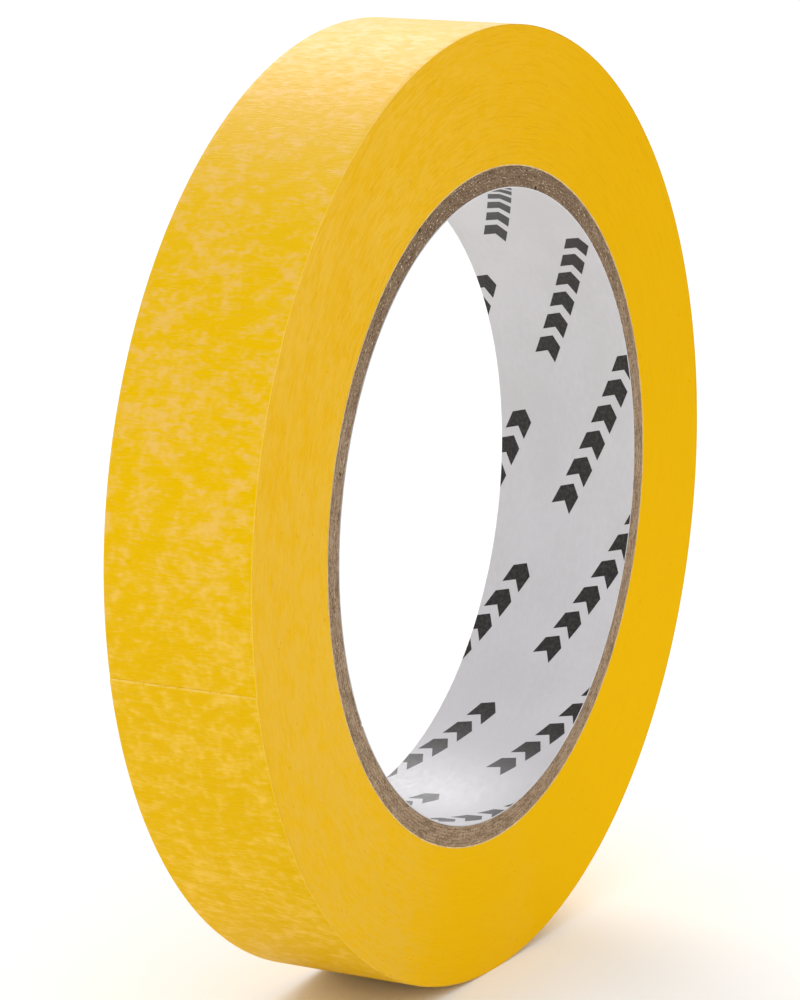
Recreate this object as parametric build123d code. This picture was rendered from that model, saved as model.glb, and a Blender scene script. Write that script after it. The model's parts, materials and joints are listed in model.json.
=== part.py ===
from build123d import *
import math
import os

# Masking tape roll, in millimetres, standing on its rim.
# The roll's axis is Y, +Z is up, and the origin is the centre of the core's bore.
# Angles are in degrees about the axis: 0 is the lowest point, and they grow from -Z towards -X.
# The tape winds outwards as its angle grows, so its cut end points up on the -X side.

# Tape
tape_width = 19.0
backing_thickness = 0.065
adhesive_thickness = 0.039
turns = 160

# Core: a printed liner, kraft plies and a pale outer wrap, all spiral wound and glued
bore_radius = 38.4
liner_thickness = 0.14
ply_thickness = 0.42
ply_count = 6
wrap_thickness = 0.14
seam_gap = 0.15
seam_slant = 26.0
first_seam_angle = 90.0
seam_stagger = 135.0

# Free end of the tape, which has let go of the roll and can be peeled
end_angle = 79.1
end_length = 25.0
end_segments = 5
end_lift = 0.05
end_clearance = 0.02

tape_thickness = backing_thickness + adhesive_thickness
core_radius = bore_radius + liner_thickness + ply_count * ply_thickness + wrap_thickness


def direction(angle):
    """Unit vector in the XZ plane at an angle about the roll's axis."""
    turn = math.radians(angle)
    return Vector(-math.sin(turn), -math.cos(turn))


def point(centre, radius, angle):
    """Point of a circle in the XZ plane."""
    return centre + direction(angle) * radius


def arc(centre, radius, start, end):
    """Arc of a circle in the XZ plane, from one angle to another."""
    middle = (start + end) / 2
    ends = [point(centre, radius, angle) for angle in (start, middle, end)]
    return ThreePointArc(*ends)


def full_width(outline):
    """Solid of the tape's width from a flat outline, centred on the XZ plane."""
    return extrude(Plane.XZ * outline, amount=tape_width / 2, both=True)


def closed(edges):
    """Flat face inside arcs that follow each other, with straight lines between their ends."""
    corners = [(edges[i - 1] @ 1, edges[i] @ 0) for i in range(len(edges))]
    links = [Line(a, b) for a, b in corners if (a - b).length > 1e-6]
    return make_face(list(edges) + links)


def band(centre, inner, outer, start, end):
    """Flat face between two arcs about one centre."""
    return closed([arc(centre, inner, start, end), arc(centre, outer, end, start)])


# The outer turn's spiral is two half circles, whose centres lie on the line to the tape's end.
# Over one turn their radius grows by just one tape thickness.
roll_centre = Vector(0, 0)
growth_centre = direction(end_angle) * (tape_thickness / 2)
first_radius = core_radius + (turns - 1) * tape_thickness
second_radius = first_radius + tape_thickness / 2
half_turn_angle = end_angle + 180
full_turn_angle = end_angle + 360

# The free end is one more arc. It leaves the spiral smoothly and has opened out by its lift.
base_angle = full_turn_angle - math.degrees(end_length / second_radius)
end_radius = 1 / (1 / second_radius - 2 * end_lift / end_length**2)
end_centre = growth_centre - direction(base_angle) * (end_radius - second_radius)
segment_angle = math.degrees(end_length / end_radius) / end_segments


def spiral(height, last_angle):
    """Arcs of the outer turn's underside, raised by a height, from the step to an angle."""
    return [
        arc(roll_centre, first_radius + height, end_angle, half_turn_angle),
        arc(growth_centre, second_radius + height, half_turn_angle, last_angle),
    ]


def core_layer(inner, thickness, seam_angle):
    """One spiral-wound strip of the core, cut to the tape's width: a ring with a slanted seam."""
    ring = full_width(Circle(inner + thickness) - Circle(inner))
    radial = direction(seam_angle)
    along_rim = direction(seam_angle + 90)
    slant = math.radians(seam_slant)
    seam_plane = Plane(
        origin=(radial.X * inner, 0, radial.Y * inner),
        x_dir=(along_rim.X * math.cos(slant), math.sin(slant), along_rim.Y * math.cos(slant)),
        z_dir=(radial.X, 0, radial.Y),
    )
    return ring - seam_plane * Box(3 * tape_width, seam_gap, inner / 2)


def tape_windings():
    """All the turns under the outer one, wound solid, with the step where the outer one starts."""
    return full_width(closed(spiral(0, full_turn_angle)) - Circle(core_radius))


def outer_turn(bottom, top):
    """One layer of the outer turn, between two heights over the windings."""
    under = spiral(bottom, base_angle)
    over = spiral(top, base_angle)
    links = [Line(under[0] @ 0, over[0] @ 0), Line(under[1] @ 1, over[1] @ 1)]
    return full_width(make_face(under + over + links))


def end_segment(number, bottom, top):
    """One layer of one short length of the free end, counted from its base."""
    start = base_angle + (number - 1) * segment_angle
    end = start + segment_angle
    return full_width(band(end_centre, end_radius + bottom, end_radius + top, start, end))


def core_layers():
    """The core's layers from the bore outwards, each with its name, inner radius and thickness."""
    thicknesses = {"core_liner": liner_thickness}
    for number in range(1, ply_count + 1):
        thicknesses[f"core_ply_{number}"] = ply_thickness
    thicknesses["core_wrap"] = wrap_thickness
    layers = []
    inner = bore_radius
    for name, thickness in thicknesses.items():
        layers.append((name, inner, thickness))
        inner += thickness
    return layers


def all_parts():
    """Every sub-part by name."""
    parts = {}
    for place, (name, inner, thickness) in enumerate(core_layers()):
        parts[name] = core_layer(inner, thickness, first_seam_angle + place * seam_stagger)
    parts["tape_windings"] = tape_windings()
    parts["outer_turn_adhesive"] = outer_turn(0, adhesive_thickness)
    parts["outer_turn_backing"] = outer_turn(adhesive_thickness, tape_thickness)
    for number in range(1, end_segments + 1):
        adhesive = end_segment(number, end_clearance, adhesive_thickness)
        parts[f"tape_end_adhesive_{number}"] = adhesive
        parts[f"tape_end_backing_{number}"] = end_segment(number, adhesive_thickness, tape_thickness)
    return parts


os.makedirs("parts", exist_ok=True)
for part_name, shape in all_parts().items():
    export_step(shape, f"parts/{part_name}.step")
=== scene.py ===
import json
import math

import bmesh
import bpy
import numpy as np
from mathutils import Matrix, Vector


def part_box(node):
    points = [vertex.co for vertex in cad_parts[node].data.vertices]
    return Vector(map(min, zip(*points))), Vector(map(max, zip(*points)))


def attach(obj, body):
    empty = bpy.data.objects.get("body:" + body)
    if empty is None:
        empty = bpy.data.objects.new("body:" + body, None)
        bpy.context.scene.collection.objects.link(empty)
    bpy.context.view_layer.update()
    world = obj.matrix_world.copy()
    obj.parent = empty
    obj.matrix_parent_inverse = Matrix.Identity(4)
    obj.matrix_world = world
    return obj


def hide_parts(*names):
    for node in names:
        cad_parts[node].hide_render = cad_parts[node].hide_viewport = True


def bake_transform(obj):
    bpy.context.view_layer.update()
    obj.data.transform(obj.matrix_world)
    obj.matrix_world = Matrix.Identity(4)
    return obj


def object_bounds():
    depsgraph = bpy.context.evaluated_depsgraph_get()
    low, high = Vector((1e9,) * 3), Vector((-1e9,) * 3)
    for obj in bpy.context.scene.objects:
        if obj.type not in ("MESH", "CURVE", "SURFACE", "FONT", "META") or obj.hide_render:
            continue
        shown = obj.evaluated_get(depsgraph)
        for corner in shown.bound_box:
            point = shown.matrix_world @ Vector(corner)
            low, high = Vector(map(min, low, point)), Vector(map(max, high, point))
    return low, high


# Masking tape roll: its looks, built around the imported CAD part.
# Lengths are in millimetres until a mesh is made, and angles are about the roll's axis:
# 0 is the lowest point, and they grow from -Z towards -X, as the tape winds.
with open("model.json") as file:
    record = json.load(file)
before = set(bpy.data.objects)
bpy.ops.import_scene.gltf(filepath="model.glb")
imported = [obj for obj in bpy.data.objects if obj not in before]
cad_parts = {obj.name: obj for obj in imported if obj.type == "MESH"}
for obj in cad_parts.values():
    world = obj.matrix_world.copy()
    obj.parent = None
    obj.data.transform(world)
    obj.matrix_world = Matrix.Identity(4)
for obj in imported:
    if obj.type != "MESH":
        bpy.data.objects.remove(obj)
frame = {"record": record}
cad_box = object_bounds()

MM = 0.001
LOWEST, HIGHEST = 0, 1  # the two corners of a box


def radius_of(node):
    """Outer radius of a round CAD node about the roll's axis."""
    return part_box(node)[HIGHEST].x / MM


# Sizes, from the frame where it holds them, and otherwise as in the CAD part
half_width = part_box("tape_windings")[HIGHEST].y / MM
bore_radius = frame["record"]["mounts"][0]["dims"]["r_mm"]
core_radius = radius_of("core_wrap")
backing_thickness = 0.065
adhesive_thickness = 0.039
tape_thickness = backing_thickness + adhesive_thickness
turns = 160
end_angle = 79.1
end_length = 25.0
end_segments = 5
first_ply_radius = radius_of("core_liner")
ply_thickness = 0.42
ply_count = 6
seam_gap = 0.15
seam_slant = 26.0
first_seam_angle = 90.0
seam_stagger = 135.0

# The tape's line: the outer turn is two half circles, and the free end goes on along the second
first_radius = core_radius + (turns - 1) * tape_thickness
second_radius = first_radius + tape_thickness / 2
base_angle = end_angle + 360 - math.degrees(end_length / second_radius)
half_turn_length = math.pi * first_radius
base_length = half_turn_length + math.radians(base_angle - end_angle - 180) * second_radius
tape_length = base_length + end_length


def direction(angles):
    """Unit vectors (x, z) at angles in degrees about the roll's axis."""
    turn = np.radians(angles)
    return np.stack([-np.sin(turn), -np.cos(turn)], axis=-1)


growth_centre = direction(end_angle) * tape_thickness / 2


def tape_line(lengths):
    """Points (x, z) and outward directions of the outer turn's underside, along its length."""
    lengths = np.asarray(lengths, float)
    first = lengths <= half_turn_length
    centres = np.where(first[..., None], 0.0, growth_centre)
    radii = np.where(first, first_radius, second_radius)
    along = np.where(first, lengths, lengths - half_turn_length)
    start = np.where(first, end_angle, end_angle + 180)
    outward = direction(start + np.degrees(along / radii))
    return centres + outward * radii[..., None], outward


# Noise

def lattice_noise(u, v, seed, period=0):
    """Smooth noise from -1 to 1 with unit cells. If period is given, u repeats after that many."""
    size = 1024
    table = np.random.RandomState(seed).uniform(-1, 1, (size, size))
    column = np.floor(u).astype(int)
    row = np.floor(v).astype(int)
    across = u - column
    up = v - row
    across = across * across * (3 - 2 * across)
    up = up * up * (3 - 2 * up)
    wrap_at = period or size
    left, right = column % wrap_at, (column + 1) % wrap_at
    low, high = row % size, (row + 1) % size
    bottom = table[left, low] * (1 - across) + table[right, low] * across
    top = table[left, high] * (1 - across) + table[right, high] * across
    return bottom * (1 - up) + top * up


def ring_noise(angles, v, cells, seed):
    """Noise that closes on itself round the axis, with a whole number of cells in a turn."""
    return lattice_noise(angles / 360 * cells, v, seed, cells)


# Meshes

def place_object(name, data):
    """Puts an object with this mesh, light or camera in the scene."""
    thing = bpy.data.objects.new(name, data)
    bpy.context.scene.collection.objects.link(thing)
    return thing


def make_piece(name, points, faces, material, grain, body, slot, *nodes):
    """A piece from points in millimetres. grain holds each point's place on the material."""
    mesh = bpy.data.meshes.new(name)
    mesh.from_pydata((points.reshape(-1, 3) * MM).tolist(), [], faces)
    attribute = mesh.attributes.new("grain", "FLOAT_VECTOR", "POINT")
    attribute.data.foreach_set("vector", grain.astype(np.float32).ravel())
    mesh.polygons.foreach_set("use_smooth", [True] * len(mesh.polygons))
    mesh.materials.append(material)
    mesh.update()
    piece = place_object(name, mesh)
    if body:
        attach(piece, body)
    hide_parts(*nodes)
    return piece


def clean(piece, sharp_angle):
    """Merges points that lie together, faces the surface outwards and keeps its corners sharp."""
    work = bmesh.new()
    work.from_mesh(piece.data)
    bmesh.ops.remove_doubles(work, verts=work.verts, dist=1e-7)
    bmesh.ops.recalc_face_normals(work, faces=work.faces)
    work.to_mesh(piece.data)
    work.free()
    piece.data.set_sharp_from_angle(angle=math.radians(sharp_angle))


def tube_faces(columns, rows):
    """Quads of an open tube whose columns are closed loops of points."""
    i, j = np.meshgrid(np.arange(columns - 1), np.arange(rows), indexing="ij")
    here = i * rows + j
    up = i * rows + (j + 1) % rows
    return np.stack([here, here + rows, up + rows, up], axis=-1).reshape(-1, 4).tolist()


def capped_tube_faces(columns, rows):
    """Faces of the same tube, closed by a cap on each end."""
    first_cap = list(range(rows))
    last_cap = list(range((columns - 1) * rows, columns * rows))[::-1]
    return tube_faces(columns, rows) + [first_cap, last_cap]


# Materials. Each point has a place on its material, in millimetres: the mesh's grain attribute.

def new_material(name):
    """A material, its node tree and its Principled shader."""
    material = bpy.data.materials.new(name)
    material.use_nodes = True
    tree = material.node_tree
    return material, tree, tree.nodes["Principled BSDF"]


class Nodes:
    """Short forms for the nodes that the materials are made of."""

    def __init__(self, tree):
        self.tree = tree
        grain = tree.nodes.new("ShaderNodeAttribute")
        grain.attribute_name = "grain"
        self.grain = grain.outputs["Vector"]

    def link(self, value, socket):
        """Links an output, or sets a constant, on a socket."""
        if isinstance(value, bpy.types.NodeSocket):
            self.tree.links.new(value, socket)
        else:
            socket.default_value = value

    def math(self, operation, *values, clamp=False):
        """One step of arithmetic on outputs and constants."""
        node = self.tree.nodes.new("ShaderNodeMath")
        node.operation = operation
        node.use_clamp = clamp
        for value, socket in zip(values, node.inputs):
            self.link(value, socket)
        return node.outputs[0]

    def product(self, first, second, clamp=False):
        """Two values multiplied."""
        return self.math("MULTIPLY", first, second, clamp=clamp)

    def weighted(self, *terms):
        """Sum of values, each given with its weight."""
        total = None
        for value, weight in terms:
            part = self.product(value, weight)
            total = part if total is None else self.math("ADD", total, part)
        return total

    def about_middle(self, noise):
        """Noise moved from 0..1 to -0.5..0.5."""
        return self.math("SUBTRACT", noise, 0.5)

    def axis(self, name):
        """One part of the place on the material: X, Y or Z."""
        node = self.tree.nodes.new("ShaderNodeSeparateXYZ")
        self.link(self.grain, node.inputs[0])
        return node.outputs[name]

    def noise(self, cell, detail=2.0, roughness=0.5, distortion=0.0, offset=(0, 0, 0)):
        """Noise whose features have a size in millimetres along each part of the place.

        With two sizes, the noise doesn't change along the third part.
        """
        place = self.tree.nodes.new("ShaderNodeMapping")
        self.link(self.grain, place.inputs["Vector"])
        place.inputs["Scale"].default_value = [1 / size for size in cell] + [0] * (3 - len(cell))
        place.inputs["Location"].default_value = offset
        node = self.tree.nodes.new("ShaderNodeTexNoise")
        self.link(place.outputs[0], node.inputs["Vector"])
        node.inputs["Scale"].default_value = 1.0
        node.inputs["Detail"].default_value = detail
        node.inputs["Roughness"].default_value = roughness
        node.inputs["Distortion"].default_value = distortion
        return node.outputs[0]

    def ramp(self, value, low, high, to_low=0.0, to_high=1.0):
        """Maps low..high smoothly to to_low..to_high."""
        node = self.tree.nodes.new("ShaderNodeMapRange")
        node.interpolation_type = "SMOOTHSTEP"
        for given, name in ((value, "Value"), (low, "From Min"), (high, "From Max")):
            self.link(given, node.inputs[name])
        node.inputs["To Min"].default_value = to_low
        node.inputs["To Max"].default_value = to_high
        return node.outputs[0]

    def mix(self, factor, first, second):
        """Mixes two colours, each an output or (red, green, blue)."""
        node = self.tree.nodes.new("ShaderNodeMix")
        node.data_type = "RGBA"
        self.link(factor, node.inputs["Factor"])
        for colour, socket in ((first, node.inputs[6]), (second, node.inputs[7])):
            is_output = isinstance(colour, bpy.types.NodeSocket)
            self.link(colour if is_output else (*colour, 1), socket)
        return node.outputs[2]

    def bump(self, height, depth, shader):
        """A bump from a height of 0 to 1 that stands for a depth in millimetres."""
        node = self.tree.nodes.new("ShaderNodeBump")
        node.inputs["Distance"].default_value = depth * MM
        self.link(height, node.inputs["Height"])
        self.link(node.outputs[0], shader.inputs["Normal"])


def srgb(red, green, blue):
    """Linear colour from one given as 0 to 255 on a screen."""
    values = np.array([red, green, blue]) / 255
    return tuple(np.where(values <= 0.04045, values / 12.92, ((values + 0.055) / 1.055) ** 2.4))


yellow_gloss = (1.0, 0.6, 0.0, 1.0)  # light that yellow paper throws back head on


def washi_material():
    """Yellow washi backing. Its place is (along the tape, across it, height at rest)."""
    deep_shaded_below, deep_lit_above = srgb(229, 181, 0), srgb(235, 187, 0)
    light_shaded_below, light_lit_above = srgb(239, 194, 68), srgb(238, 192, 92)
    painted_sheen_cream, slit_edge_highlight, frayed_cut_highlight = srgb(240, 194, 130), srgb(246, 204, 74), srgb(249, 214, 118)
    material, tree, shader = new_material("washi_backing")
    n = Nodes(tree)
    height = n.axis("Z")

    # Pale mottling: patches with ragged sides, and single long fibres across the tape
    patches = n.noise((2.1, 2.9), detail=2.0, roughness=0.8)
    flakes = n.noise((0.34, 1.7), detail=1.0, roughness=0.6, distortion=0.2, offset=(31, 7, 0))
    fibres = n.noise((0.16, 2.4), detail=1.0, roughness=0.5, distortion=0.4, offset=(13, 3, 0))
    clouds = n.noise((9, 8), detail=1.0, offset=(5, 3, 0))
    pale = n.weighted((patches, 0.7), (flakes, 0.3), (n.about_middle(clouds), 0.25))
    pale = n.math("POWER", n.ramp(pale, 0.35, 0.68), 2.0)
    pale = n.math("MAXIMUM", pale, n.product(n.ramp(fibres, 0.62, 0.78), 0.5))
    # Painted light and shade: the tape is darker low on the roll and lighter high on it, where its
    # pale patches are also stronger and bluer
    painted_height_light = n.ramp(height, -16.0, 18.0)
    pale = n.product(pale, n.math("ADD", n.product(painted_height_light, 0.1), 1.0), clamp=True)
    deep = n.mix(painted_height_light, deep_shaded_below, deep_lit_above)
    colour = n.mix(pale, deep, n.mix(painted_height_light, light_shaded_below, light_lit_above))
    # Painted sheen: a cream wash over the top of the roll
    colour = n.mix(n.ramp(height, 38.0, 58.0, 0.0, 0.25), colour, painted_sheen_cream)

    # Painted highlight along the slit edges on both sides, and the frayed cut at the tape's end
    across = n.math("ABSOLUTE", n.axis("Y"))
    at_slit = n.ramp(across, half_width - 0.16, half_width - 0.03)
    colour = n.mix(n.product(at_slit, 0.6), colour, slit_edge_highlight)
    # The cut's pale fringe is partly frayed fibres and partly a painted highlight on the cut edge
    at_cut = n.ramp(n.axis("X"), tape_length - 0.32, tape_length - 0.16)
    frayed = n.noise((0.5, 0.9), detail=2.0, roughness=0.7, offset=(2, 9, 0))
    frayed = n.product(n.ramp(frayed, 0.30, 0.58), 0.5)
    colour = n.mix(n.product(at_cut, frayed), colour, frayed_cut_highlight)
    n.link(colour, shader.inputs["Base Color"])

    # A patchy sheen, which is dull low on the roll
    sheen = n.weighted((flakes, 0.6), (patches, 0.4))
    n.link(n.ramp(sheen, 0.36, 0.64, 0.53, 0.43), shader.inputs["Roughness"])
    gloss = n.product(n.ramp(sheen, 0.36, 0.64, 0.24, 0.42), n.ramp(height, -36.0, 6.0, 0.12, 1.0))
    n.link(gloss, shader.inputs["Specular IOR Level"])
    shader.inputs["Specular Tint"].default_value = yellow_gloss

    # Fine folds where the paper is creped
    folds = n.noise((0.5, 3.4), detail=1.0, roughness=0.6, distortion=1.2, offset=(3, 17, 0))
    folds = n.ramp(n.math("ABSOLUTE", n.about_middle(folds)), 0.0, 0.08, 1.0, 0.0)
    creped = n.ramp(n.noise((2.2, 3.5), detail=1.0, offset=(7, 1, 0)), 0.38, 0.60, 0.25, 1.0)
    n.bump(n.weighted((n.product(folds, creped), 0.45), (flakes, 0.55)), 0.026, shader)
    return material


def adhesive_material():
    """Clear tacky film over the yellow paper. Its place is (along the tape, across it, height)."""
    amber, pale_amber = srgb(226, 172, 14), srgb(236, 190, 66)
    material, tree, shader = new_material("adhesive_film")
    n = Nodes(tree)
    patches = n.noise((2.2, 2.8), detail=2.5, roughness=0.6)
    colour = n.mix(n.ramp(patches, 0.35, 0.65), amber, pale_amber)
    n.link(colour, shader.inputs["Base Color"])
    n.link(n.ramp(patches, 0.3, 0.7, 0.22, 0.4), shader.inputs["Roughness"])
    n.bump(n.noise((0.5, 0.7), detail=2.0), 0.03, shader)
    return material


def wound_edge_material():
    """Slit edges of the wound turns. Its place is (radius, towards +X, towards +Z)."""
    yellow_below, yellow_shaded_above = srgb(235, 182, 0), srgb(228, 174, 0)
    mottle_and_sheen_yellow, scratched, specked = srgb(232, 184, 58), srgb(208, 152, 6), srgb(210, 140, 14)
    material, tree, shader = new_material("wound_edges")
    n = Nodes(tree)
    sideways, height = n.axis("Y"), n.axis("Z")

    # Pale mottling, faint all over, and painted sheen that makes it much paler on the side towards
    # -X and on the top
    lines = n.noise((0.24, 3.2, 3.2), detail=2.0, roughness=0.6)
    patches = n.noise((2.0, 3.2, 3.2), detail=2.0, roughness=0.7, offset=(9, 2, 4))
    clouds = n.noise((9, 16, 16), detail=1.0, offset=(2, 6, 1))
    flecks = n.noise((0.3, 1.5, 1.5), detail=1.0, roughness=0.6, offset=(6, 3, 8))
    mottle = n.ramp(n.weighted((lines, 0.2), (patches, 0.4), (flecks, 0.4)), 0.36, 0.62)
    side = n.math("ADD", sideways, n.product(n.about_middle(clouds), 60.0))
    side = n.ramp(side, -50.0, 6.0, 0.72, 0.0)
    top = n.product(n.ramp(height, 8.0, 40.0, 0.0, 0.45), n.ramp(sideways, -30.0, 32.0, 1.0, 0.0))
    pale_mottle_and_sheen = n.math("ADD", n.math("MAXIMUM", side, top), 0.05)
    pale = n.product(n.math("ADD", n.product(mottle, 1.3), 0.3), pale_mottle_and_sheen, clamp=True)
    # Painted shade: the face is darker towards the top
    colour = n.mix(n.ramp(height, -42.0, 42.0), yellow_below, yellow_shaded_above)
    colour = n.mix(pale, colour, mottle_and_sheen_yellow)

    # Scratches that follow the turns, and small specks
    scratches = n.noise((0.14, 6, 6), detail=1.0, roughness=0.6, offset=(3, 1, 5))
    scratches = n.ramp(scratches, 0.56, 0.70)
    clearer_above = n.ramp(height, -30.0, 44.0, 0.06, 0.32)
    colour = n.mix(n.product(scratches, clearer_above), colour, scratched)
    specks = n.ramp(n.noise((0.3, 0.6, 0.6), detail=0.0, offset=(1, 8, 3)), 0.79, 0.84)
    colour = n.mix(n.product(specks, 0.4), colour, specked)
    n.link(colour, shader.inputs["Base Color"])
    n.link(n.ramp(mottle, 0.0, 1.0, 0.58, 0.7), shader.inputs["Roughness"])
    shader.inputs["Specular IOR Level"].default_value = 0.01
    shader.inputs["Specular Tint"].default_value = yellow_gloss
    n.bump(lines, 0.02, shader)
    return material


def kraft_material():
    """Cut edge of grey-brown kraft board. Its place is (radius, towards +X, towards +Z)."""
    dark_kraft, light_kraft = srgb(122, 99, 76), srgb(172, 148, 122)
    glue_line, upper_dark_kraft = srgb(72, 56, 44), srgb(84, 64, 46)
    crumb, hole = srgb(222, 200, 172), srgb(56, 44, 36)
    material, tree, shader = new_material("kraft_board")
    n = Nodes(tree)
    streaks = n.noise((0.16, 0.9, 0.9), detail=2.0, roughness=0.65)
    specks = n.noise((0.18, 0.34, 0.34), detail=1.0, roughness=0.6, offset=(4, 4, 4))
    patches = n.noise((0.7, 2.6, 2.6), detail=2.0, roughness=0.65, offset=(2, 5, 1))
    tone = n.weighted((streaks, 0.3), (specks, 0.3), (patches, 0.4))
    colour = n.mix(n.ramp(tone, 0.37, 0.62), dark_kraft, light_kraft)

    # Glue between the plies, where it has soaked out
    from_first_ply = n.math("SUBTRACT", n.axis("X"), first_ply_radius)
    from_glue = n.math("PINGPONG", from_first_ply, ply_thickness / 2)
    glue = n.product(n.ramp(from_glue, 0.0, 0.06, 1.0, 0.0), n.ramp(patches, 0.40, 0.58))
    colour = n.mix(n.product(glue, 0.5), colour, glue_line)

    # The upper part is darker, and its crumbs and holes show more
    darker_above = n.ramp(n.axis("Z"), 4.0, 40.0, 0.0, 0.5)
    colour = n.mix(darker_above, colour, upper_dark_kraft)
    rough = n.math("ADD", n.product(darker_above, 0.9), 0.4)
    crumbs = n.ramp(n.noise((0.14, 0.4, 0.4), detail=0.0, offset=(8, 1, 6)), 0.70, 0.76)
    colour = n.mix(n.product(crumbs, rough), colour, crumb)
    holes = n.ramp(specks, 0.30, 0.38, 1.0, 0.0)
    colour = n.mix(n.product(holes, rough), colour, hole)
    n.link(colour, shader.inputs["Base Color"])
    shader.inputs["Roughness"].default_value = 0.85
    shader.inputs["Specular IOR Level"].default_value = 0.1
    n.bump(tone, 0.1, shader)
    return material


def wrap_material():
    """Pale paper round the core. Its place is (radius, towards +X, towards +Z)."""
    tan, pale_tan = srgb(196, 166, 104), srgb(226, 202, 150)
    material, tree, shader = new_material("wrap_paper")
    n = Nodes(tree)
    fibres = n.noise((0.1, 1.2, 1.2), detail=2.0, roughness=0.6)
    colour = n.mix(n.ramp(fibres, 0.35, 0.65), tan, pale_tan)
    n.link(colour, shader.inputs["Base Color"])
    shader.inputs["Roughness"].default_value = 0.75
    n.bump(fibres, 0.04, shader)
    return material


def liner_material():
    """Coated white paper, darker lowest down. Its place is (along the rim, across it, height)."""
    white, bright_white = srgb(204, 202, 204), srgb(211, 209, 212)
    shaded_white = srgb(194, 192, 195)
    material, tree, shader = new_material("liner_paper")
    n = Nodes(tree)
    fibres = n.noise((1.2, 0.7), detail=3.0, roughness=0.65)
    clouds = n.noise((14, 9), detail=2.0, offset=(3, 1, 0))
    tone = n.weighted((fibres, 0.4), (clouds, 0.6))
    colour = n.mix(n.ramp(tone, 0.35, 0.65), white, bright_white)
    colour = n.mix(n.ramp(n.axis("Z"), -37.5, -31.0, 0.9, 0.0), colour, shaded_white)
    n.link(colour, shader.inputs["Base Color"])
    n.link(n.ramp(fibres, 0.3, 0.7, 0.34, 0.46), shader.inputs["Roughness"])
    shader.inputs["Specular IOR Level"].default_value = 0.25
    n.bump(fibres, 0.015, shader)
    return material


def ink_material():
    """Dark print on the liner. Its place is (along the rim, across it, 0)."""
    black, worn_black = srgb(26, 23, 22), srgb(54, 50, 48)
    material, tree, shader = new_material("liner_ink")
    n = Nodes(tree)
    wear = n.noise((0.5, 0.5), detail=3.0, roughness=0.65)
    colour = n.mix(n.ramp(wear, 0.4, 0.66), black, worn_black)
    n.link(colour, shader.inputs["Base Color"])
    n.link(n.ramp(wear, 0.3, 0.7, 0.36, 0.48), shader.inputs["Roughness"])
    shader.inputs["Specular IOR Level"].default_value = 0.35
    n.bump(wear, 0.01, shader)
    return material


# Wound turns: one closed solid, with a groove between each turn and the next

face_circle = 45.0  # radius that stands for the direction from the axis, in the face's grain
coarse_columns = 126
fine_columns = 25
fine_from = 330.0  # degrees on from the tape's end, as is the next
covered_from = 332.0  # where the turn is lower, to make room for the piece covered_turn
covered_depth = 0.045
groove_depth = 0.012
last_edge_depth = 0.02  # of the last turn's outer edge


def edge_wander(winding):
    """How far the tape's edges stand back from the face, at a place counted in turns.

    The noise has 43 and 11 cells in a turn, and one cell in 7 turns.
    """
    middle = np.full_like(winding, 0.5)
    short = lattice_noise(winding * 43, middle, seed=11)
    medium = lattice_noise(winding * 11, middle, seed=12)
    slow = lattice_noise(winding / 7, middle, seed=13)
    return 0.03 + 0.007 * short + 0.009 * medium + 0.01 * slow


def wound_turns():
    """All the turns under the outer one.

    Each column of points is a radial cut, out along the front face and back along the other.
    In one sweep round the axis the rows move out by a turn. Even rows are the grooves.
    """
    coarse = np.linspace(0, fine_from, coarse_columns)
    fine = np.linspace(fine_from, 360, fine_columns)[1:]
    sweep = np.concatenate([coarse, fine])
    heading = direction(end_angle + sweep)
    along = heading @ growth_centre
    second_half = along + np.sqrt(second_radius**2 - growth_centre @ growth_centre + along**2)
    outer = np.where(sweep > 180, second_half, first_radius)
    rows = np.arange(-2, 2 * (turns - 1) + 1)
    radii = outer[:, None] - (rows[-1] - rows) * tape_thickness / 2
    radii = np.maximum(radii, core_radius)
    radii[sweep > covered_from, -1] -= covered_depth

    winding = rows / 2 + sweep[:, None] / 360
    groove = np.maximum(edge_wander(winding + 0.5), edge_wander(winding - 0.5)) + groove_depth
    depth = np.where(rows % 2 == 0, groove, edge_wander(winding))
    depth[:, -1] = last_edge_depth
    x = radii * heading[:, None, 0]
    z = radii * heading[:, None, 1]
    front = np.stack([x, depth - half_width, z], axis=-1)
    back = np.stack([x, half_width - depth, z], axis=-1)[:, ::-1]
    loops = np.concatenate([front, back], axis=1)
    radial = np.concatenate([radii, radii[:, ::-1]], axis=1)
    circle = np.broadcast_to(heading[:, None, :] * face_circle, (*radial.shape, 2))
    grain = np.concatenate([radial[..., None], circle], axis=-1)

    # The step where the outer turn starts is the one part of the last cut that meets no other turn
    columns, points_in_cut = loops.shape[:2]
    step_edge = (columns - 1) * points_in_cut + len(rows) - 1
    step = [step_edge + offset for offset in range(-2, 4)]
    piece = make_piece(
        "wound_turns", loops, tube_faces(columns, points_in_cut) + [step], wound_edges, grain,
        "roll", "wound_tape", "tape_windings",
    )
    clean(piece, sharp_angle=40)


# Outer turn and free end: thin closed strips that follow the tape's line

outer_backing_columns = 1100
outer_adhesive_columns = 500
backing_rows = 54
adhesive_rows = 4
end_spacing = 0.3  # of the columns near and in the free end
edge_bevel = 0.05
edge_drop = 0.02
near_tip = 0.5  # a strip that ends as near as this to the cut has finer columns there
tip_reach = 0.4
tip_gaps = np.array([0.35, 0.25, 0.15, 0.08, 0.03, 0])  # of the last columns from the cut
tip_taper_length = 0.25
tip_taper = 0.6  # share of its height that the tip loses
press_from = 0.15  # of the tip's underside, before the cut
press_length = 0.07
adhesive_short = 0.16  # how far the adhesive ends before the cut
end_clearance = 0.01
covered_overlap = 1.5  # how far the piece covered_turn runs under the outer turn
covered_gap = 0.02
covered_base_gap = 0.001


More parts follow.
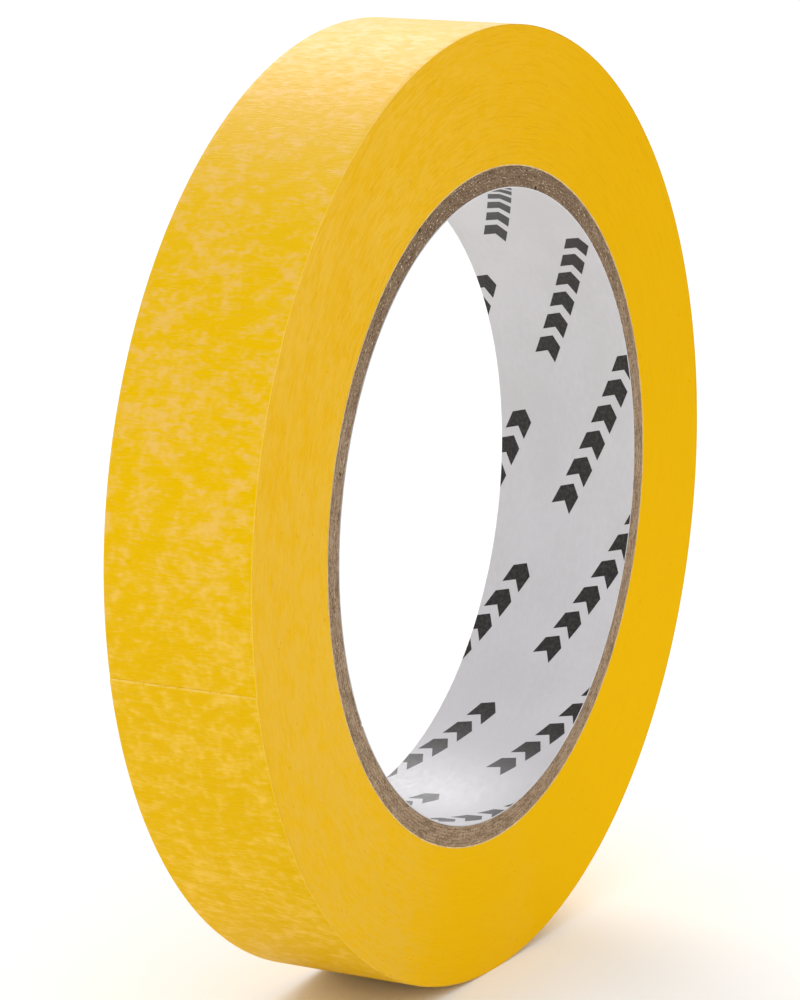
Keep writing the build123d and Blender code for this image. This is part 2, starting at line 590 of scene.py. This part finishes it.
def washi_relief(lengths, across):
    """Height of the washi's creping and fibres over the backing's mean face."""
    crepe = lattice_noise(lengths / 0.75, across / 2.4, seed=21)
    clumps = lattice_noise(lengths / 1.7, across / 2.2, seed=22)
    sway = lattice_noise(lengths / 9, across / 14, seed=23)
    return 0.006 * crepe + 0.008 * clumps + 0.008 * sway


def crease(lengths, across):
    """A faint raised crease before the tape's end, a little off square, on its +Y half."""
    place, slope = 2.6, 0.11
    height, half_thickness = 0.03, 0.16
    fade_from, fade_length = 0.5, 0.5
    before_end = place + slope * (half_width - across)
    ridge = np.exp(-(((tape_length - lengths - before_end) / half_thickness) ** 2))
    reach = 1 / (1 + np.exp(-(across - fade_from) / fade_length))
    return height * ridge * reach


def outer_relief(lengths, across):
    """Relief of the outer turn and the free end."""
    return washi_relief(lengths, across) + crease(lengths, across)


def covered_relief(lengths, across):
    """Relief of the backing that lies pressed under the free end."""
    return 0.8 * washi_relief(lengths, across)


def strip(name, start, end, columns, bottom, top, rows, relief, material, slot, *nodes):
    """A closed strip between two heights over the tape's line. Its upper face carries the relief.

    bottom is a height, or a function that gives it along the length. relief may be None.
    """
    lengths = np.linspace(start, end, columns)
    if end > tape_length - near_tip:
        lengths = np.concatenate([lengths[lengths < end - tip_reach], end - tip_gaps])
        columns = len(lengths)
    across = np.linspace(-half_width, half_width, rows)
    across[1] = across[0] + edge_bevel
    across[-2] = across[-1] - edge_bevel
    line, outward = tape_line(lengths)

    # Upper face, lower at its two edges and tapering to the tape's cut end
    mesh_lengths, mesh_across = np.meshgrid(lengths, across, indexing="ij")
    heights = np.full(mesh_lengths.shape, top)
    if relief:
        heights += relief(mesh_lengths, mesh_across)
    heights[:, [0, -1]] = top - edge_drop
    to_tip = (mesh_lengths - tape_length + tip_taper_length) / tip_taper_length
    heights *= 1 - tip_taper * np.clip(to_tip, 0, 1)
    xz = line[:, None, :] + outward[:, None, :] * heights[..., None]
    upper = np.stack([xz[..., 0], mesh_across, xz[..., 1]], axis=-1)

    # Lower face, flat across
    depths = bottom(lengths) if callable(bottom) else np.full(columns, bottom)
    under = line + outward * depths[:, None]
    lower = []
    for side in (half_width, -half_width):
        edge = np.stack([under[:, 0], np.full(columns, side), under[:, 1]], axis=-1)
        lower.append(edge[:, None])
    loops = np.concatenate([upper, *lower], axis=1)
    grain = loops.copy()
    grain[..., 0] = lengths[:, None]
    faces = capped_tube_faces(columns, loops.shape[1])
    piece = make_piece(name, loops, faces, material, grain, None, slot, *nodes)
    clean(piece, sharp_angle=50)
    return piece


def outer_turn():
    """The outer turn's backing and adhesive, from the step to the free end."""
    backing = strip(
        "outer_backing", 0, base_length, outer_backing_columns,
        adhesive_thickness, tape_thickness, backing_rows, outer_relief,
        washi, "tape_backing", "outer_turn_backing",
    )
    adhesive = strip(
        "outer_adhesive", 0, base_length, outer_adhesive_columns,
        0, adhesive_thickness, adhesive_rows, None,
        adhesive_film, "tape_adhesive", "outer_turn_adhesive",
    )
    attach(backing, "roll")
    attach(adhesive, "roll")


def covered_turn():
    """The backing of the turn beneath the free end, which shows when the end is peeled."""
    start = base_length - covered_overlap
    columns = round((tape_length - start) / end_spacing) + 1
    backing = strip(
        "covered_turn", start, tape_length, columns,
        covered_base_gap - covered_depth, -covered_gap, backing_rows, covered_relief,
        washi, "wound_tape",
    )
    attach(backing, "roll")


def underside(lengths):
    """Height of the backing's underside. At its end the cut has pressed it over the adhesive."""
    pressed = np.clip((lengths - tape_length + press_from) / press_length, 0, 1)
    return adhesive_thickness + (end_clearance - adhesive_thickness) * pressed


def free_end():
    """The free end in strips, cut between the middles of its segments, and the last at the tip."""
    step = end_length / end_segments
    middles = [step * (k - 0.5) for k in range(1, end_segments + 1)]
    cuts = [0, *middles, end_length]
    tip = end_segments + 1
    for k in range(1, tip + 1):
        node = min(k, end_segments)
        start, end = base_length + cuts[k - 1], base_length + cuts[k]
        columns = round((end - start) / end_spacing) + 1
        backing = strip(
            f"free_end_backing_{k}", start, end, columns,
            underside, tape_thickness, backing_rows, outer_relief,
            washi, "tape_backing", f"tape_end_backing_{node}",
        )
        adhesive_end = end - adhesive_short if k == tip else end
        adhesive = strip(
            f"free_end_adhesive_{k}", start, adhesive_end, columns,
            end_clearance, adhesive_thickness, adhesive_rows, None,
            adhesive_film, "tape_adhesive", f"tape_end_adhesive_{node}",
        )
        for piece in (backing, adhesive):
            if k == tip:
                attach(piece, f"tape_end_{end_segments}")
            else:
                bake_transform(piece)


# Core: rings with a slanted seam

core_circle = 40.0  # radius that stands for the direction from the axis, in the core's grain
ring_rows = 12  # across a layer's outside, and across its inside where it is hidden
ring_columns = 540
ply_edge_rows = 7
wrap_edge_rows = 4
liner_edge_rows = 3
liner_inside_rows = 44
liner_columns = 720


def core_ring(node, place, inner, outer, columns, edge_rows, inside_rows, depth, material, slot):
    """One layer of the core. depth(angles, radii) is how far its cut edges stand back."""
    edge = np.linspace(inner, outer, edge_rows)
    front = [(r, -half_width) for r in edge]
    outside = [(outer, y) for y in np.linspace(-half_width, half_width, ring_rows)[1:-1]]
    back = [(r, half_width) for r in edge[::-1]]
    inside = [(inner, y) for y in np.linspace(half_width, -half_width, inside_rows)[1:-1]]
    profile = np.array(front + outside + back + inside)
    radii, across = profile[:, 0], profile[:, 1]

    # The seam's two sides are a little apart, and lean across the paper
    seam = first_seam_angle + place * seam_stagger
    slant = math.radians(seam_slant)
    opening = seam_gap / 2 / math.sin(slant)
    middle = across / math.tan(slant)
    low = seam + np.degrees(np.arcsin((middle + opening) / radii))
    high = seam + 360 + np.degrees(np.arcsin((middle - opening) / radii))
    share = np.linspace(0, 1, columns)[:, None]
    angles = low + share * (high - low)
    radii = np.broadcast_to(radii, angles.shape)

    on_edge = np.isclose(np.abs(across), half_width)
    set_back = np.where(on_edge, depth(angles, radii), 0)
    y = across - np.sign(across) * set_back
    heading = direction(angles)
    loops = np.stack([heading[..., 0] * radii, y, heading[..., 1] * radii], axis=-1)
    if material is liner:
        along_rim = np.radians(angles) * bore_radius
        grain = np.stack([along_rim, y, loops[..., 2]], axis=-1)
    else:
        circle = heading * core_circle
        grain = np.stack([radii, circle[..., 0], circle[..., 1]], axis=-1)
    piece = make_piece(
        node.replace("core_", "core_layer_"), loops, capped_tube_faces(columns, len(profile)),
        material, grain, "roll", slot, node,
    )
    clean(piece, sharp_angle=40)


def kraft_depth(number, inner, outer):
    """Depth of a ply's fibrous cut edge, lowest at the glue lines on its two sides."""
    fibre_height, fibres_round = 0.12, 700
    lump_height, lumps_round = 0.35, 240

    def depth(angles, radii):
        side = np.abs((radii - inner) / (outer - inner) * 2 - 1)
        fibres = ring_noise(angles, radii / fibre_height, fibres_round, seed=40 + number)
        lumps = ring_noise(angles, radii / lump_height, lumps_round, seed=50 + number)
        return 0.05 + 0.02 * fibres + 0.018 * lumps + 0.045 * side**4

    return depth


def thin_edge_depth(seed, least, most):
    """Depth of a thin paper's cut edge."""
    fibre_height, fibres_round = 0.1, 300

    def depth(angles, radii):
        rise = ring_noise(angles, radii / fibre_height, fibres_round, seed)
        return (least + most) / 2 + (most - least) / 2 * rise

    return depth


def core():
    """The liner, the kraft plies and the outer wrap, from the bore outwards."""
    plies = [f"core_ply_{k}" for k in range(1, ply_count + 1)]
    inner = bore_radius
    for place, node in enumerate(["core_liner", *plies, "core_wrap"]):
        outer = radius_of(node)
        if node == "core_liner":
            core_ring(
                node, place, inner, outer, liner_columns, liner_edge_rows, liner_inside_rows,
                thin_edge_depth(seed=31, least=0.0, most=0.03), liner, "liner_paper",
            )
        elif node == "core_wrap":
            core_ring(
                node, place, inner, outer, ring_columns, wrap_edge_rows, ring_rows,
                thin_edge_depth(seed=32, least=0.01, most=0.05), wrap, "wrap_paper",
            )
        else:
            core_ring(
                node, place, inner, outer, ring_columns, ply_edge_rows, ring_rows,
                kraft_depth(place, inner, outer), kraft, "kraft_board",
            )
        inner = outer


# Print on the liner: rows of plain arrow heads that climb across the paper.
# It is drawn flat, with X along the rim from angle 0 and Y across the paper, and then bent round.

mark_height = 2.93
mark_width = 3.76
mark_pitch = 4.05
marks_in_row = 6
row_slant = 25.8
row_period = 32.4  # from the start of a row to the next one on the same line
line_step = Vector((20.1, -1.78))  # from a row to its neighbour on the next line
first_mark = Vector((149.33, 2.79))
ink_thickness = 0.012
ink_sink = 0.004  # of its underside in the paper
print_margin = 0.03
seam_margin = 0.05
quad_parts = 4

# An arrow head that points along the row, as its lower and its upper half, in shares of its size
notch = 0.32
shoulder = 1 - notch
arrow_head = [
    [(0, 0), (shoulder, 0), (1, 0.5), (notch, 0.5)],
    [(notch, 0.5), (1, 0.5), (shoulder, 1), (0, 1)],
]


def add_quad(work, quad, begin, baseline, upward):
    """Adds one quad of a mark, divided so that it can follow the liner."""
    corners = [np.array(corner) for corner in quad]
    grid = []
    for i in range(quad_parts + 1):
        for j in range(quad_parts + 1):
            a, b = i / quad_parts, j / quad_parts
            low = corners[0] * (1 - a) + corners[1] * a
            high = corners[3] * (1 - a) + corners[2] * a
            u, v = low * (1 - b) + high * b
            place = begin + baseline * u * mark_width + upward * v * mark_height
            grid.append(work.verts.new((place.x, place.y, 0)))
    for i in range(quad_parts):
        for j in range(quad_parts):
            k = i * (quad_parts + 1) + j
            corner_points = (k, k + quad_parts + 1, k + quad_parts + 2, k + 1)
            work.faces.new([grid[index] for index in corner_points])


def print_marks():
    """Every mark on the liner, drawn flat and cut at the paper's edges."""
    slant = math.radians(row_slant)
    baseline = Vector((-math.cos(slant), -math.sin(slant)))
    upward = Vector((baseline.y, -baseline.x))
    spare_angle = 40  # past the liner's two ends
    spare_width = 6
    low_rim = math.radians(first_seam_angle - spare_angle) * bore_radius
    high_rim = math.radians(first_seam_angle + 360 + spare_angle) * bore_radius
    lines, periods = range(-16, 18), range(-3, 4)  # more than enough to fill the liner
    work = bmesh.new()
    for line in lines:
        for period in periods:
            corner = first_mark + line * line_step + period * row_period * baseline
            for number in range(marks_in_row):
                begin = corner + baseline * mark_pitch * number
                off_paper = abs(begin.y) > half_width + spare_width
                if off_paper or not low_rim < begin.x < high_rim:
                    continue
                for quad in arrow_head:
                    add_quad(work, quad, begin, baseline, upward)
    bmesh.ops.remove_doubles(work, verts=work.verts, dist=1e-4)
    for side in (-1, 1):
        whole = work.verts[:] + work.edges[:] + work.faces[:]
        bmesh.ops.bisect_plane(
            work, geom=whole, plane_co=(0, side * (half_width - print_margin), 0),
            plane_no=(0, side, 0), clear_outer=True,
        )
    raised = bmesh.ops.extrude_face_region(work, geom=work.faces[:])
    for v in raised["geom"]:
        if isinstance(v, bmesh.types.BMVert):
            v.co.z = ink_thickness
    return work


def past_seam(point):
    """How far a point lies inside the liner's start, and before its end, along the rim."""
    slant = math.radians(seam_slant)
    lean = point.y / math.tan(slant)
    opening = (seam_gap / 2 + seam_margin) / math.sin(slant)
    start = math.radians(first_seam_angle) * bore_radius
    first = start + bore_radius * math.asin((lean + opening) / bore_radius)
    turn_length = 2 * math.pi * bore_radius
    last = start + turn_length + bore_radius * math.asin((lean - opening) / bore_radius)
    return point.x - first, last - point.x


def liner_print():
    """The print as one piece, cut at the liner's seam and bent round inside it."""
    work = print_marks()
    grain = work.verts.layers.float_vector.new("grain")
    for v in work.verts:
        v[grain] = (v.co.x, v.co.y, 0)
    outside = [f for f in work.faces if any(min(past_seam(v.co)) < 0 for v in f.verts)]
    bmesh.ops.delete(work, geom=outside, context="FACES")
    bmesh.ops.holes_fill(work, edges=[e for e in work.edges if e.is_boundary], sides=0)
    for v in work.verts:
        heading = direction(math.degrees(v.co.x / bore_radius))
        radius = bore_radius + ink_sink - v.co.z
        v.co = Vector((heading[0] * radius, v.co.y, heading[1] * radius)) * MM
    bmesh.ops.recalc_face_normals(work, faces=work.faces)

    # The steps above leave the faces in another order each run, so they are sorted along a slope
    slope = Vector((1, 2, 3))
    work.faces.sort(key=lambda face: face.calc_center_median().dot(slope))
    mesh = bpy.data.meshes.new("liner_print")
    work.to_mesh(mesh)
    work.free()
    mesh.polygons.foreach_set("use_smooth", [True] * len(mesh.polygons))
    mesh.set_sharp_from_angle(angle=math.radians(40))
    mesh.materials.append(ink)
    piece = place_object("liner_print", mesh)
    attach(piece, "roll")


# Stage, in metres

def floor():
    """A pale floor at the roll's lowest point."""
    material, _, shader = new_material("floor_paper")
    shader.inputs["Base Color"].default_value = (0.98, 0.98, 0.98, 1)
    shader.inputs["Roughness"].default_value = 0.9
    side = 3.0
    level = cad_box[LOWEST].z
    corners = [(x * side, y * side, level) for x, y in ((-1, -1), (1, -1), (1, 1), (-1, 1))]
    mesh = bpy.data.meshes.new("floor")
    mesh.from_pydata(corners, [], [(0, 1, 2, 3)])
    mesh.materials.append(material)
    place_object("floor", mesh)


def surround():
    """A white surround, brightest at the horizon and a little dimmer overhead."""
    world = bpy.data.worlds.new("surround")
    world.use_nodes = True
    tree = world.node_tree
    background = tree.nodes["Background"]
    background.inputs["Color"].default_value = (1, 1, 1, 1)
    outward = tree.nodes.new("ShaderNodeTexCoord").outputs["Generated"]
    split = tree.nodes.new("ShaderNodeSeparateXYZ")
    fall = tree.nodes.new("ShaderNodeMapRange")
    fall.interpolation_type = "SMOOTHSTEP"
    for name, value in (("From Min", 0.12), ("From Max", 0.42), ("To Min", 1.02), ("To Max", 0.81)):
        fall.inputs[name].default_value = value
    tree.links.new(outward, split.inputs[0])
    tree.links.new(split.outputs["Z"], fall.inputs["Value"])
    tree.links.new(fall.outputs[0], background.inputs["Strength"])
    bpy.context.scene.world = world


def face_roll(light, place):
    """Turns a light so that it shines from a place towards the roll's centre."""
    light.rotation_mode = "QUATERNION"
    light.rotation_quaternion = Vector(place).to_track_quat("Z", "Y")


def soft_light(name, place, power):
    """A square soft light that faces the roll."""
    lamp = bpy.data.lights.new(name, "AREA")
    lamp.size = 0.8
    lamp.energy = power
    light = place_object(name, lamp)
    light.location = place
    light.visible_camera = False
    face_roll(light, place)


def skylight():
    """A wide sun, above and behind the roll as the camera sees it."""
    lamp = bpy.data.lights.new("skylight", "SUN")
    lamp.energy = 1.15
    lamp.angle = math.radians(32)
    face_roll(place_object("skylight", lamp), place=(0.65, 0.47, 0.60))


def camera():
    """A long lens on the roll from its left, a little above."""
    azimuth = math.radians(-61.44)
    elevation = math.radians(11.52)
    distance = 505.7 * MM
    aside = -3.258 * MM
    back = Vector((
        math.sin(azimuth) * math.cos(elevation),
        -math.cos(azimuth) * math.cos(elevation),
        math.sin(elevation),
    ))
    right = Vector((math.cos(azimuth), math.sin(azimuth), 0))
    up = back.cross(right)
    lens = bpy.data.cameras.new("camera")
    lens.sensor_width = 36
    lens.lens = 150.13
    lens.clip_start = 0.01
    lens.clip_end = 20
    eye = place_object("camera", lens)
    rotation = Matrix((right, up, back)).transposed().to_4x4()
    eye.matrix_world = Matrix.Translation(back * distance + right * aside) @ rotation
    bpy.context.scene.camera = eye


camera()
floor()
surround()
soft_light("key", place=(-0.7, -0.3, 1.0), power=1.7)
soft_light("fill", place=(0.45, -1.0, 0.25), power=0.8)
skylight()

washi = washi_material()
adhesive_film = adhesive_material()
wound_edges = wound_edge_material()
kraft = kraft_material()
wrap = wrap_material()
liner = liner_material()
ink = ink_material()

core()
liner_print()
wound_turns()
covered_turn()
outer_turn()
free_end()

bpy.context.scene.view_settings.view_transform = "Standard"
